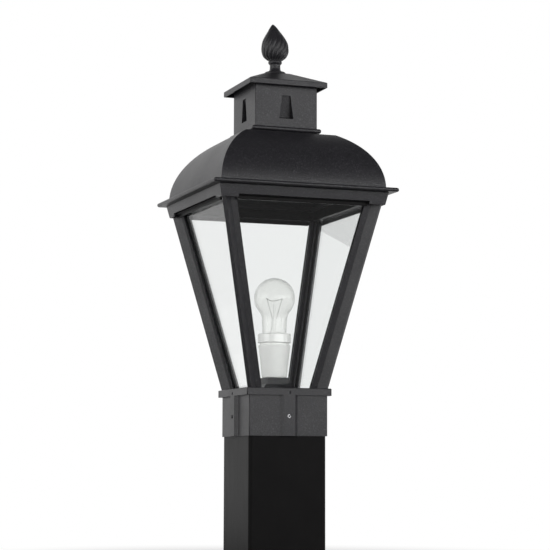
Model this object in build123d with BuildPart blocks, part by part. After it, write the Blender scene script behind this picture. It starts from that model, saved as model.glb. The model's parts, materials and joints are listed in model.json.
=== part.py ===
from build123d import *
import os
from math import cos, pi, radians, sin, sqrt

# A square post top lantern: a collar that slips over a square post, a tapering glazed
# cage with finned corner posts, and a lift-off hood of skirt, cornice, domed roof,
# vented chimney, cap and fluted finial, round one lampholder with a screw-in bulb.
# Millimetres, +Z up, origin at the bottom centre of the post section. The front faces -Y.

# --- Post and collar ---
POST_W = 117.2             # square post, outside
POST_WALL = 3.0
POST_CORNER_R = 5.0
POST_SHOWN = 175.0         # length of post below the collar
COLLAR_FIT = 0.25          # gap between post and collar, each side
COLLAR_T = 1.05            # sheet of the collar's sleeve
COLLAR_W = POST_W + 2 * (COLLAR_FIT + COLLAR_T)
COLLAR_H = 58.0
COLLAR_EDGE_R = 1.2
DECK_T = 4.0               # inner deck that rests on the post's end
DECK_HOLE_W = 72.0
STRIP_BASE = 27.5          # raised strip down the middle of each collar face
STRIP_FACE = 17.0
STRIP_RISE = 4.9
SET_SCREW_R = 3.0
SET_SCREW_SUNK = 2.0
SET_SCREW_UP = 28.0        # height of the set screws above the collar's foot
HEX_SOCKET_AF = 3.0
HEX_SOCKET_DEEP = 3.0

# --- Base plate on the collar ---
BASE_W = COLLAR_W + 2 * STRIP_RISE
BASE_T = 10.5
BASE_WEB = 4.5             # thickness over the pocket that takes the collar's spigot
BASE_EDGE_R = 1.5
SPIGOT_W = 106.0
SPIGOT_FIT = 0.3
BASE_SCREW_R = 2.1         # side set screw in the plate's lip
BASE_SCREW_POINT_R = 1.5   # its dog point, which enters the spigot
BASE_SCREW_UP = 3.7        # height of the side screws above the plate's lower edge
BASE_SCREW_SUNK = 2.0
BASE_SCREW_POINT_L = 12.0
SLOT_W = 0.6               # screwdriver slot
SLOT_DEEP = 0.8
SCREW_FIT = 0.02           # screws stand this clear of the threads they sit in
GROMMET_R = 9.0
GROMMET_BORE_R = 6.6
GROMMET_LIP = 1.5
GROMMET_FLANGE = 1.4

# --- Cage: corner posts, glass, top frame ---
CAGE_W_BOTTOM = 123.2      # over the fin tips
CAGE_W_TOP = 243.4
CAGE_H = 265.5
FIN_T = 5.7                # fin on the diagonal of each corner post
FLANGE_SET = 10.6          # glazing flange, in from the fin tip
FLANGE_T = 2.0
FLANGE_REACH = 24.0        # inner end of the flange, in from the fin tip
GLASS_T = 3.0
GLASS_FIT = 0.3
SLOT_END = 18.0            # bottom of the glass slot, in from the fin tip
CORE_IN = 13.8             # screw core, in from the fin tip
CORE_SCREW_R = 1.6
CORE_SCREW_DEEP = 8.0
CORE_SCREW_SPARE = 1.0     # core left below the screw's end
CORE_HEAD_R = 3.2
CORE_HEAD_H = 2.25
HOLE_FIT = 0.1             # clearance of a screw hole, on the radius
TOP_FRAME_W = CAGE_W_TOP - 1.4
TOP_FRAME_T = 4.0
TOP_FRAME_RIM = 23.0       # width of the flat ring
TOP_FRAME_OPEN = TOP_FRAME_W - 2 * TOP_FRAME_RIM
TOP_CURB_T = 4.0           # upstand round the opening, which carries the hood
TOP_RAIL_END = 23.7        # each hanging rail stops this far from the corner, clear of the fins
TOP_RAIL_L = CAGE_W_TOP - 2 * TOP_RAIL_END
TOP_RAIL_DROP = 5.0
TOP_RAIL_T = 3.0
TOP_RAIL_SET = 4.0

# --- Hood ---
LIFT_GAP = 0.3             # between the hood and what it rests on
SKIRT_H = 17.8
SKIRT_T = 1.8
SKIRT_FIT = 0.6            # gap between the skirt's foot and the cage, each side
SKIRT_LEAN = 4.0
SKIRT_W_BOTTOM = CAGE_W_TOP + 2 * (SKIRT_T + SKIRT_FIT)
SKIRT_W_TOP = SKIRT_W_BOTTOM + 2 * SKIRT_LEAN
SKIRT_OVERLAP = 3.0        # how far the skirt hangs over the cage posts
NOTCH_END = 25.1           # skirt left whole from each corner to the notch
NOTCH_L = SKIRT_W_BOTTOM - 2 * NOTCH_END
NOTCH_H = 4.2
CORNICE_W = 280.0
CORNICE_T = 5.8
CORNICE_CORNER_R = 4.0
CORNICE_EDGE_R = 2.7
CORNICE_LAP = 3.0          # cornice reaches in past the top frame's opening
CORNICE_OPEN = TOP_FRAME_OPEN - 2 * CORNICE_LAP
DOME_W = 250.0
DOME_RISE = 100.4          # full rise of the ellipse, above the cut for the chimney
DOME_CUT = 83.6            # height of the flat top that carries the chimney
DOME_T = 2.0
DOME_LIP = 9.0
DOME_PLATE_T = 2.5
DOME_SCREW_R = 2.0
DOME_SCREW_HEAD_R = 3.6
DOME_SCREW_HEAD_H = 2.4
DOME_SCREW_SPARE = 1.0     # screw end that stands above the dome's lip
CHIMNEY_W = 96.5
CHIMNEY_T = 2.0
FLUE_LEDGE = 5.25          # roof plate seen inside the chimney's foot
FLUE_W = CHIMNEY_W - 2 * (CHIMNEY_T + FLUE_LEDGE)
CHIMNEY_H = 78.3
BEAD_OUT = 5.35            # bead stands this far out of the chimney's face
BEAD_W = CHIMNEY_W + 2 * BEAD_OUT
BEAD_H = 6.6
BEAD_EDGE_R = 3.0
BEAD_UP = 4.3              # bead's lower edge above the chimney's foot
VENT_TOP_W = 13.0
VENT_BOTTOM_W = 22.0
VENT_LOW = 23.8            # vent foot above the chimney's foot
VENT_H = 34.0
VENT_DEPTH = 9.0
VENT_T = 1.2
VENT_MOUTH = 3.0           # open gap under the pressed flap
CAP_EAVE = 11.85           # cap's overhang past the chimney's face
CAP_W = CHIMNEY_W + 2 * CAP_EAVE
CAP_FASCIA = 7.7
CAP_RISE = 19.0
CAP_TOP_W = 34.0
CAP_T = 2.0
CAP_EAVE_DROP = 7.1        # fascia's lower edge, below the chimney's rim
STRAP_W = 16.0
STRAP_T = 3.0
STRAP_DROP = 12.0
STRAP_EAR = 6.0
STUD_R = 4.0
STUD_FIT = 0.35
STUD_SPARE = 1.0           # bore left above the stud's end, inside the finial
STUD_CHAMFER = 0.8
NUT_FIT = 0.05
STUD_UP = 26.0             # stud length above the cap, inside the finial
STUD_DOWN = 8.0
NUT_AF = 13.0
NUT_H = 6.5

# --- Finial ---
FINIAL_FLANGE_R = 16.2
FINIAL_FLANGE_H = 3.4
FINIAL_FLANGE_SLOPE = 1.4
FINIAL_NECK_R = 7.9
FINIAL_NECK_UP = 10.5      # neck's lower and upper ends, above the finial's foot
FINIAL_NECK_END = 14.5
FINIAL_COLLAR_R = 10.4
FINIAL_COLLAR_UP = 17.9
FINIAL_LOBES = 12
FINIAL_TWIST = 75.0        # turn of the flutes from foot to shoulder, degrees
FINIAL_TWIST_END = 0.64    # share of the bud's height where the flutes have died out
FINIAL_BUD_FOOT = 21.5     # height of the bud's foot above the cap
FINIAL_BUD_H = 55.0
FINIAL_LEAN = 3.6          # how far the bud's tip leans towards -X, as a flame does
FINIAL_LEAN_FROM = 0.1     # share of the bud's height where the lean begins
# Sections of the bud: share of its height, radius, flute depth.
FINIAL_BUD = (
    (0.0, 11.0, 0.8),
    (0.09, 16.9, 1.5),
    (0.30, 20.5, 1.9),
    (0.48, 19.3, 1.3),
    (0.64, 14.9, 0.45),
    (0.80, 9.1, 0.1),
    (0.93, 4.5, 0.05),
    (1.0, 1.2, 0.02),
)
FINIAL_FOOT_LAP = 0.6      # how far the turned foot runs up into the bud

# --- Lampholder and bulb ---
BRACKET_FOOT_W = 54.0
BRACKET_SHOULDER_W = 40.0
BRACKET_FOOT_H = 7.0
BRACKET_BLOCK_W = 34.0
BRACKET_BLOCK_H = 9.9
BRACKET_BORE_R = 6.2
BRACKET_SCREW_X = 19.0
BRACKET_SCREW_DEEP = 4.4
HOLDER_FOOT_R = 18.3
HOLDER_TOP_R = 23.5
HOLDER_H = 48.4
HOLDER_FLOOR = 12.0
HOLDER_EDGE = 1.2
CHAMBER_R = 12.0
SHELL_LEDGE = 29.0         # ledge for the screw shell, above the holder's foot
SHELL_SEAT_R = 16.0
RING_SEAT = 39.0
RING_SEAT_R = 20.2
RING_R = 24.3
RING_H = 14.0
RING_NECK_GAP = 2.2        # groove between ring and holder body
RING_FIT = 0.2
RING_BORE_R = 16.4
RING_MOUTH_R = 20.6
RING_WAIST = 6.0
RING_SLOPE = 2.0           # fall of the ring's inner ledge
SHELL_R = 14.2
SHELL_T = 0.5
SHELL_H = 24.0
LEAD_X = 3.6
LEAD_R = 1.3
LEAD_FIT = 0.3
LEAD_END = 3.0             # length of the leads above the chamber's floor
CONTACT_T = 0.8
CONTACT_W = 6.0
CONTACT_UP = 4.0           # contact tongue above the shell's foot
CONTACT_RISE = 3.0         # its slope up to the tongue
CONTACT_TONGUE = 4.0       # half length of the tongue
CONTACT_FOOT_X = 6.1
CONTACT_SIDE = 1.5         # between the contact's leg and the chamber's wall
CONTACT_GAP = 0.3
BULB_CAP_H = 27.5
# Bulb cap from its contact pip to the shell: radius, height above the contact.
CAP_PROFILE = ((4.0, 0.0), (4.6, 1.2), (9.0, 2.6), (12.45, 4.4), (13.25, 5.4))
BULB_R = 30.1
BULB_DIP = 40.5            # how far the globe runs below its middle, degrees
BULB_WAIST_R = 18.6
BULB_NECK_R = 17.7
BULB_COLLAR_R = 14.4       # glass collar round the cap's rim
BULB_COLLAR_DROP = 4.0     # how far that collar reaches below the rim
BULB_L = 114.0             # from the centre contact to the crown
BULB_GLASS_T = 0.9
NECK_UP = 33.0             # neck's lower and upper ends, above the contact
WAIST_UP = 54.0
# Pressed stem: radius, height above the cap's rim.
STEM_PROFILE = ((11.5, 0.0), (7.5, 4.0), (4.0, 13.0), (4.0, 21.0), (2.0, 25.0))
STEM_ROD_R = 1.6
STEM_BEAD_R = 2.4
STEM_BEAD_H = 3.0
STEM_TOP_DROP = 9.0        # stem's top below the filament's ends
FILAMENT_R = 0.5
SUPPORT_R = 0.45
SUPPORT_FOOT_X = 2.6
SUPPORT_FOOT_UP = 24.6     # above the cap's rim
FILAMENT_HALF = 13.0
FILAMENT_BOW = 8.0         # how far the filament swings out between its ends
FILAMENT_SAG = 3.0
FILAMENT_UP = 84.0
BLOCK_L = 34.0
BLOCK_W = 18.0
BLOCK_H = 13.0
BLOCK_EDGE_R = 1.5
BLOCK_DROP = 4.0           # length of the block's two feet
BLOCK_FOOT_X = 13.1
BLOCK_FOOT_R = 2.4
BLOCK_BORE_R = 2.2

# --- Levels ---
Z_COLLAR = POST_SHOWN
Z_BASE = Z_COLLAR + COLLAR_H
Z_POCKET = Z_BASE + BASE_T - BASE_WEB
Z_CAGE = Z_BASE + BASE_T
Z_CAGE_TOP = Z_CAGE + CAGE_H
Z_SKIRT = Z_CAGE_TOP - SKIRT_OVERLAP
Z_CORNICE = Z_SKIRT + SKIRT_H
Z_DOME = Z_CORNICE + CORNICE_T
Z_CHIMNEY = Z_DOME + DOME_CUT
Z_CHIMNEY_TOP = Z_CHIMNEY + CHIMNEY_H
Z_EAVE = Z_CHIMNEY_TOP - CAP_EAVE_DROP
Z_CAP_TOP = Z_EAVE + CAP_FASCIA + CAP_RISE
Z_STRAP = Z_CHIMNEY_TOP - STRAP_DROP
Z_FINIAL = Z_CAP_TOP + LIFT_GAP
Z_HOLDER = Z_CAGE + BRACKET_FOOT_H + BRACKET_BLOCK_H
Z_RING = Z_HOLDER + HOLDER_H
Z_CHAMBER = Z_HOLDER + HOLDER_FLOOR
Z_SHELL = Z_HOLDER + SHELL_LEDGE
Z_CONTACT = Z_SHELL + CONTACT_UP
Z_BULB = Z_CONTACT + CONTACT_GAP

SIDES = ("front", "right", "back", "left")
CORNERS = {"front_left": (-1, -1), "front_right": (1, -1), "back_right": (1, 1), "back_left": (-1, 1)}


def finish(piece, name):
    """Label a finished piece and write its STEP file."""
    piece.part.label = name
    export_step(piece.part, f"parts/{name}.step")


def side_plane(side, distance):
    """Plane on one side of the lantern, facing out, with local x level and local y up."""
    turn = radians(90 * side)
    out = (sin(turn), -cos(turn), 0)
    return Plane(
        origin=(distance * out[0], distance * out[1], 0),
        x_dir=(cos(turn), sin(turn), 0),
        z_dir=out,
    )


def level_plane(side, height):
    """Level plane whose local -y points out of the given side."""
    turn = radians(90 * side)
    return Plane(origin=(0, 0, height), x_dir=(cos(turn), sin(turn), 0), z_dir=(0, 0, 1))


def cage_half(height):
    """Half the cage's width over the fin tips at a height."""
    share = (height - Z_CAGE) / CAGE_H
    return (CAGE_W_BOTTOM + share * (CAGE_W_TOP - CAGE_W_BOTTOM)) / 2


os.makedirs("parts", exist_ok=True)

# --- Post section ---
with BuildPart() as post_section:
    with BuildSketch():
        bore = POST_W - 2 * POST_WALL
        RectangleRounded(POST_W, POST_W, POST_CORNER_R)
        RectangleRounded(bore, bore, POST_CORNER_R - POST_WALL, mode=Mode.SUBTRACT)
    extrude(amount=POST_SHOWN + COLLAR_H - DECK_T)
finish(post_section, "post_section")

# --- Collar: sleeve, raised strips, deck and spigot ---
with BuildPart() as collar:
    with BuildSketch(Plane.XY.offset(Z_COLLAR)):
        Rectangle(COLLAR_W, COLLAR_W)
    extrude(amount=COLLAR_H)
    fillet(collar.edges().filter_by(Axis.Z), radius=COLLAR_EDGE_R)
    for side in range(4):
        with BuildSketch(level_plane(side, Z_COLLAR)):
            with BuildLine():
                Polyline(
                    (-STRIP_BASE / 2, -COLLAR_W / 2 + COLLAR_T),
                    (-STRIP_BASE / 2, -COLLAR_W / 2),
                    (-STRIP_FACE / 2, -COLLAR_W / 2 - STRIP_RISE),
                    (STRIP_FACE / 2, -COLLAR_W / 2 - STRIP_RISE),
                    (STRIP_BASE / 2, -COLLAR_W / 2),
                    (STRIP_BASE / 2, -COLLAR_W / 2 + COLLAR_T),
                    close=True,
                )
            make_face()
        extrude(amount=COLLAR_H)
    with BuildSketch(Plane.XY.offset(Z_COLLAR)):
        sleeve = POST_W + 2 * COLLAR_FIT
        RectangleRounded(sleeve, sleeve, POST_CORNER_R)
    extrude(amount=COLLAR_H - DECK_T, mode=Mode.SUBTRACT)
    with BuildSketch(Plane.XY.offset(Z_BASE)):
        Rectangle(SPIGOT_W, SPIGOT_W)
    extrude(amount=Z_POCKET - Z_BASE)
    with BuildSketch(Plane.XY.offset(Z_BASE - DECK_T)):
        Rectangle(DECK_HOLE_W, DECK_HOLE_W)
    extrude(amount=DECK_T + Z_POCKET - Z_BASE, mode=Mode.SUBTRACT)
    for side in range(4):
        with BuildSketch(side_plane(side, COLLAR_W / 2 + STRIP_RISE)):
            with Locations((0, Z_COLLAR + SET_SCREW_UP)):
                Circle(SET_SCREW_R)
        extrude(amount=-(COLLAR_W - POST_W) / 2 - STRIP_RISE, mode=Mode.SUBTRACT)
        with BuildSketch(side_plane(side, SPIGOT_W / 2)):
            with Locations((0, Z_BASE + BASE_SCREW_UP)):
                Circle(BASE_SCREW_POINT_R)
        extrude(amount=-(SPIGOT_W - DECK_HOLE_W) / 2, mode=Mode.SUBTRACT)
finish(collar, "collar")

# --- Socket set screws that lock the collar to the post ---
SET_SCREW_FACE = COLLAR_W / 2 + STRIP_RISE - SET_SCREW_SUNK
with BuildPart() as collar_set_screws:
    for side in range(4):
        with BuildSketch(side_plane(side, POST_W / 2)):
            with Locations((0, Z_COLLAR + SET_SCREW_UP)):
                Circle(SET_SCREW_R - SCREW_FIT)
        extrude(amount=SET_SCREW_FACE - POST_W / 2)
        with BuildSketch(side_plane(side, SET_SCREW_FACE)):
            with Locations((0, Z_COLLAR + SET_SCREW_UP)):
                RegularPolygon(HEX_SOCKET_AF / 2, 6, major_radius=False)
        extrude(amount=-HEX_SOCKET_DEEP, mode=Mode.SUBTRACT)
finish(collar_set_screws, "collar_set_screws")

# --- Base plate, with a pocket over the spigot ---
POST_CORE_LOW = cage_half(Z_CAGE) - CORE_IN
with BuildPart() as base_plate:
    with BuildSketch(Plane.XY.offset(Z_BASE)):
        Rectangle(BASE_W, BASE_W)
    extrude(amount=BASE_T)
    fillet(base_plate.edges().filter_by(Axis.Z), radius=BASE_EDGE_R)
    fillet(base_plate.faces().sort_by(Axis.Z)[-1].edges(), radius=BASE_EDGE_R * 0.8)
    with BuildSketch(Plane.XY.offset(Z_BASE)):
        Rectangle(SPIGOT_W + 2 * SPIGOT_FIT, SPIGOT_W + 2 * SPIGOT_FIT)
    extrude(amount=BASE_T - BASE_WEB, mode=Mode.SUBTRACT)
    with BuildSketch(Plane.XY.offset(Z_POCKET)):
        Circle(GROMMET_R)
        with Locations((-BRACKET_SCREW_X, 0), (BRACKET_SCREW_X, 0)):
            Circle(CORE_SCREW_R + HOLE_FIT)
        with GridLocations(2 * POST_CORE_LOW, 2 * POST_CORE_LOW, 2, 2):
            Circle(CORE_SCREW_R + HOLE_FIT)
    extrude(amount=BASE_WEB, mode=Mode.SUBTRACT)
    with BuildSketch(Plane.XY.offset(Z_POCKET)):
        with GridLocations(2 * POST_CORE_LOW, 2 * POST_CORE_LOW, 2, 2):
            Circle(CORE_HEAD_R + HOLE_FIT)
    extrude(amount=CORE_HEAD_H, mode=Mode.SUBTRACT)
    for side in range(4):
        with BuildSketch(side_plane(side, BASE_W / 2)):
            with Locations((0, Z_BASE + BASE_SCREW_UP)):
                Circle(BASE_SCREW_R)
        extrude(amount=-(BASE_W - SPIGOT_W) / 2, mode=Mode.SUBTRACT)
finish(base_plate, "base_plate")

# --- Side screws through the base plate's lip, with points in the spigot ---
BASE_SCREW_FACE = BASE_W / 2 - BASE_SCREW_SUNK
with BuildPart() as base_screws:
    for side in range(4):
        with BuildSketch(side_plane(side, BASE_SCREW_FACE)):
            with Locations((0, Z_BASE + BASE_SCREW_UP)):
                Circle(BASE_SCREW_R - SCREW_FIT)
        extrude(amount=SPIGOT_W / 2 + SPIGOT_FIT - BASE_SCREW_FACE)
        with BuildSketch(side_plane(side, BASE_SCREW_FACE)):
            with Locations((0, Z_BASE + BASE_SCREW_UP)):
                Rectangle(SLOT_W, 2 * BASE_SCREW_R)
        extrude(amount=-SLOT_DEEP, mode=Mode.SUBTRACT)
        with BuildSketch(side_plane(side, SPIGOT_W / 2 + SPIGOT_FIT)):
            with Locations((0, Z_BASE + BASE_SCREW_UP)):
                Circle(BASE_SCREW_POINT_R - SCREW_FIT)
        extrude(amount=-BASE_SCREW_POINT_L)
finish(base_screws, "base_screws")

# --- Cable grommet in the base plate ---
with BuildPart() as cable_grommet:
    with BuildSketch(Plane.XZ):
        with BuildLine():
            Polyline(
                (GROMMET_BORE_R, Z_POCKET - GROMMET_LIP),
                (GROMMET_R + GROMMET_FLANGE, Z_POCKET - GROMMET_LIP),
                (GROMMET_R + GROMMET_FLANGE, Z_POCKET),
                (GROMMET_R, Z_POCKET),
                (GROMMET_R, Z_CAGE),
                (GROMMET_BORE_R, Z_CAGE),
                close=True,
            )
        make_face()
    revolve(axis=Axis.Z)
finish(cable_grommet, "cable_grommet")

# --- Corner posts: diagonal fin, glazing flanges and glass slots ---
TIP = FIN_T / sqrt(2)
SLOT_IN = FLANGE_SET + FLANGE_T
SLOT_OUT = SLOT_IN + GLASS_T + 2 * GLASS_FIT
HALF_SECTION = (
    (TIP, 0),
    (FLANGE_SET + TIP, FLANGE_SET),
    (FLANGE_REACH, FLANGE_SET),
    (FLANGE_REACH, SLOT_IN),
    (SLOT_END, SLOT_IN),
    (SLOT_END, SLOT_OUT),
    (FLANGE_REACH, SLOT_OUT),
    (FLANGE_REACH, SLOT_OUT + FLANGE_T),
)
INNER_CORNER = (SLOT_OUT + FLANGE_T, SLOT_OUT + FLANGE_T)
SECTION = HALF_SECTION + (INNER_CORNER,) + tuple((b, a) for a, b in reversed(HALF_SECTION))


def corner_post(sign_x, sign_y):
    """One corner post, its section lofted from the base plate to the top frame."""
    with BuildPart() as post:
        for height in (Z_CAGE, Z_CAGE_TOP):
            half = cage_half(height)
            with BuildSketch(Plane.XY.offset(height)):
                with BuildLine():
                    Polyline([(sign_x * (half - a), sign_y * (half - b)) for a, b in SECTION], close=True)
                make_face()
        loft(ruled=True)
        for height, depth in ((Z_CAGE, CORE_SCREW_DEEP), (Z_CAGE_TOP, -CORE_SCREW_DEEP)):
            core = cage_half(height) - CORE_IN
            with BuildSketch(Plane.XY.offset(height)):
                with Locations((sign_x * core, sign_y * core)):
                    Circle(CORE_SCREW_R)
            extrude(amount=depth, mode=Mode.SUBTRACT)
    return post


for corner, (sign_x, sign_y) in CORNERS.items():
    finish(corner_post(sign_x, sign_y), f"corner_post_{corner}")

# --- Glass panes, tapering trapezoids held in the slots ---
GLASS_SET = SLOT_IN + GLASS_FIT + GLASS_T / 2


def glass_pane(side):
    """One pane, standing on the base plate."""
    with BuildPart() as pane:
        for height in (Z_CAGE, Z_CAGE_TOP):
            half = cage_half(height)
            with BuildSketch(level_plane(side, height)):
                with Locations((0, GLASS_SET - half)):
                    Rectangle(2 * (half - SLOT_END - GLASS_FIT), GLASS_T)
        loft(ruled=True)
    return pane


for side, side_name in enumerate(SIDES):
    finish(glass_pane(side), f"glass_{side_name}")

# --- Top frame: flat ring on the posts, curb and hanging rails ---
POST_CORE_HIGH = cage_half(Z_CAGE_TOP) - CORE_IN
TOP_CURB_H = Z_CORNICE - LIFT_GAP - Z_CAGE_TOP - TOP_FRAME_T
with BuildPart() as top_frame:
    with BuildSketch(Plane.XY.offset(Z_CAGE_TOP)):
        Rectangle(TOP_FRAME_W, TOP_FRAME_W)
        Rectangle(TOP_FRAME_OPEN, TOP_FRAME_OPEN, mode=Mode.SUBTRACT)
        with GridLocations(2 * POST_CORE_HIGH, 2 * POST_CORE_HIGH, 2, 2):
            Circle(CORE_SCREW_R + HOLE_FIT, mode=Mode.SUBTRACT)
    extrude(amount=TOP_FRAME_T)
    with BuildSketch(Plane.XY.offset(Z_CAGE_TOP + TOP_FRAME_T)):
        Rectangle(TOP_FRAME_OPEN + 2 * TOP_CURB_T, TOP_FRAME_OPEN + 2 * TOP_CURB_T)
        Rectangle(TOP_FRAME_OPEN, TOP_FRAME_OPEN, mode=Mode.SUBTRACT)
    extrude(amount=TOP_CURB_H)
    for side in range(4):
        with BuildSketch(level_plane(side, Z_CAGE_TOP)):
            with Locations((0, -cage_half(Z_CAGE_TOP) + TOP_RAIL_SET + TOP_RAIL_T / 2)):
                Rectangle(TOP_RAIL_L, TOP_RAIL_T)
        extrude(amount=-TOP_RAIL_DROP)
finish(top_frame, "top_frame")

# --- Screws that hold the corner posts, four below and four above ---
with BuildPart() as cage_screws:
    with BuildSketch(Plane.XY.offset(Z_POCKET)):
        with GridLocations(2 * POST_CORE_LOW, 2 * POST_CORE_LOW, 2, 2):
            Circle(CORE_HEAD_R)
    extrude(amount=CORE_HEAD_H)
    with BuildSketch(Plane.XY.offset(Z_POCKET + CORE_HEAD_H)):
        with GridLocations(2 * POST_CORE_LOW, 2 * POST_CORE_LOW, 2, 2):
            Circle(CORE_SCREW_R - SCREW_FIT)
    extrude(amount=BASE_WEB - CORE_HEAD_H + CORE_SCREW_DEEP - CORE_SCREW_SPARE)
    with BuildSketch(Plane.XY.offset(Z_CAGE_TOP + TOP_FRAME_T)):
        with GridLocations(2 * POST_CORE_HIGH, 2 * POST_CORE_HIGH, 2, 2):
            Circle(CORE_HEAD_R)
    extrude(amount=CORE_HEAD_H)
    with BuildSketch(Plane.XY.offset(Z_CAGE_TOP + TOP_FRAME_T)):
        with GridLocations(2 * POST_CORE_HIGH, 2 * POST_CORE_HIGH, 2, 2):
            Circle(CORE_SCREW_R - SCREW_FIT)
    extrude(amount=-TOP_FRAME_T - CORE_SCREW_DEEP + CORE_SCREW_SPARE)
finish(cage_screws, "cage_screws")

# --- Skirt: leaning band under the cornice, notched between the corners ---
with BuildPart() as skirt:
    for height, width in ((Z_SKIRT, SKIRT_W_BOTTOM), (Z_CORNICE, SKIRT_W_TOP)):
        with BuildSketch(Plane.XY.offset(height)):
            Rectangle(width, width)
    loft(ruled=True)
    for height, width in ((Z_SKIRT, SKIRT_W_BOTTOM), (Z_CORNICE, SKIRT_W_TOP)):
        with BuildSketch(Plane.XY.offset(height)):
            Rectangle(width - 2 * SKIRT_T, width - 2 * SKIRT_T)
    loft(ruled=True, mode=Mode.SUBTRACT)
    with Locations((0, 0, Z_SKIRT)):
        Box(NOTCH_L, 2 * SKIRT_W_TOP, 2 * NOTCH_H, mode=Mode.SUBTRACT)
        Box(2 * SKIRT_W_TOP, NOTCH_L, 2 * NOTCH_H, mode=Mode.SUBTRACT)
finish(skirt, "skirt")

# --- Cornice: flat plate with a rounded edge ---
DOME_SCREW_PITCH = DOME_W - 2 * DOME_T - DOME_LIP
with BuildPart() as cornice:
    with BuildSketch(Plane.XY.offset(Z_CORNICE)):
        RectangleRounded(CORNICE_W, CORNICE_W, CORNICE_CORNER_R)
    extrude(amount=CORNICE_T)
    fillet(cornice.edges().group_by(Axis.Z)[0] + cornice.edges().group_by(Axis.Z)[-1], radius=CORNICE_EDGE_R)
    with BuildSketch(Plane.XY.offset(Z_CORNICE)):
        Rectangle(CORNICE_OPEN, CORNICE_OPEN)
        with GridLocations(DOME_SCREW_PITCH, DOME_SCREW_PITCH, 2, 2):
            Circle(DOME_SCREW_R + HOLE_FIT)
    extrude(amount=CORNICE_T, mode=Mode.SUBTRACT)
finish(cornice, "cornice")


def vault(half_width, rise, half_length):
    """Solid under two crossing elliptical barrels, meeting in four hips."""
    with BuildPart() as solid:
        for plane, mode in ((Plane.XZ, Mode.ADD), (Plane.YZ, Mode.INTERSECT)):
            with BuildSketch(plane):
                with BuildLine():
                    arch = EllipticalCenterArc((0, Z_DOME), half_width, rise, start_angle=0, arc_size=180)
                    Line(arch @ 1, arch @ 0)
                make_face()
            extrude(amount=half_length, both=True, mode=mode)
    return solid.part


# --- Domed roof: shell with mitred hips, foot lip and chimney plate ---
DOME_TOP_W = DOME_W * sqrt(1 - (DOME_CUT / DOME_RISE) ** 2)
DOME_LIP_OPEN = DOME_W - 2 * DOME_T - 2 * DOME_LIP
with BuildPart() as dome_roof:
    add(vault(DOME_W / 2, DOME_RISE, DOME_W))
    add(vault(DOME_W / 2 - DOME_T, DOME_RISE - DOME_T, DOME_W), mode=Mode.SUBTRACT)
    with BuildSketch(Plane.XY.offset(Z_CHIMNEY - DOME_PLATE_T)):
        Rectangle(DOME_TOP_W, DOME_TOP_W)
    extrude(amount=DOME_PLATE_T)
    with BuildSketch(Plane.XY.offset(Z_CHIMNEY)):
        Rectangle(DOME_W, DOME_W)
    extrude(amount=DOME_RISE, mode=Mode.SUBTRACT)
    with BuildSketch(Plane.XY.offset(Z_CHIMNEY)):
        Rectangle(FLUE_W, FLUE_W)
    extrude(amount=-DOME_RISE / 2, mode=Mode.SUBTRACT)
    with BuildSketch(Plane.XY.offset(Z_DOME)):
        Rectangle(DOME_W - DOME_T, DOME_W - DOME_T)
        Rectangle(DOME_LIP_OPEN, DOME_LIP_OPEN, mode=Mode.SUBTRACT)
        with GridLocations(DOME_SCREW_PITCH, DOME_SCREW_PITCH, 2, 2):
            Circle(DOME_SCREW_R, mode=Mode.SUBTRACT)
    extrude(amount=DOME_T)
finish(dome_roof, "dome_roof")

# --- Screws up through the cornice into the dome's lip ---
with BuildPart() as dome_screws:
    with BuildSketch(Plane.XY.offset(Z_CORNICE)):
        with GridLocations(DOME_SCREW_PITCH, DOME_SCREW_PITCH, 2, 2):
            Circle(DOME_SCREW_R - SCREW_FIT)
    extrude(amount=CORNICE_T + DOME_T + DOME_SCREW_SPARE)
    with BuildSketch(Plane.XY.offset(Z_CORNICE)):
        with GridLocations(DOME_SCREW_PITCH, DOME_SCREW_PITCH, 2, 2):
            Circle(DOME_SCREW_HEAD_R)
    extrude(amount=-DOME_SCREW_HEAD_H)
finish(dome_screws, "dome_screws")

# --- Half-round bead round the chimney, just above its foot ---
with BuildPart() as chimney_bead:
    with BuildSketch(Plane.XY.offset(Z_CHIMNEY + BEAD_UP)):
        Rectangle(BEAD_W, BEAD_W)
    extrude(amount=BEAD_H)
    fillet(chimney_bead.edges(), radius=BEAD_EDGE_R)
    with BuildSketch(Plane.XY.offset(Z_CHIMNEY + BEAD_UP)):
        Rectangle(CHIMNEY_W, CHIMNEY_W)
    extrude(amount=BEAD_H, mode=Mode.SUBTRACT)
finish(chimney_bead, "chimney_bead")


def vent_scoop(grow):
    """Wedge behind one vent: its flap hangs from the top edge and leans in at the foot."""
    low = Z_CHIMNEY + VENT_LOW
    high = low + VENT_H
    face = -CHIMNEY_W / 2 + CHIMNEY_T / 2
    with BuildPart() as wedge:
        with BuildSketch(Plane.YZ):
            with BuildLine():
                Polyline(
                    (face, low + VENT_MOUTH),
                    (face, high + grow),
                    (face + CHIMNEY_T / 2 + grow, high + grow),
                    (face + VENT_DEPTH + grow, low + VENT_MOUTH),
                    close=True,
                )
            make_face()
        extrude(amount=VENT_BOTTOM_W, both=True)
        with BuildSketch(side_plane(0, CHIMNEY_W / 2)):
            with BuildLine():
                Polyline(
                    (-VENT_TOP_W / 2 - grow, high + grow),
                    (VENT_TOP_W / 2 + grow, high + grow),
                    (VENT_BOTTOM_W / 2 + grow, low),
                    (-VENT_BOTTOM_W / 2 - grow, low),
                    close=True,
                )
            make_face()
        extrude(amount=-CHIMNEY_W / 2, mode=Mode.INTERSECT)
    return wedge.part


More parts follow.
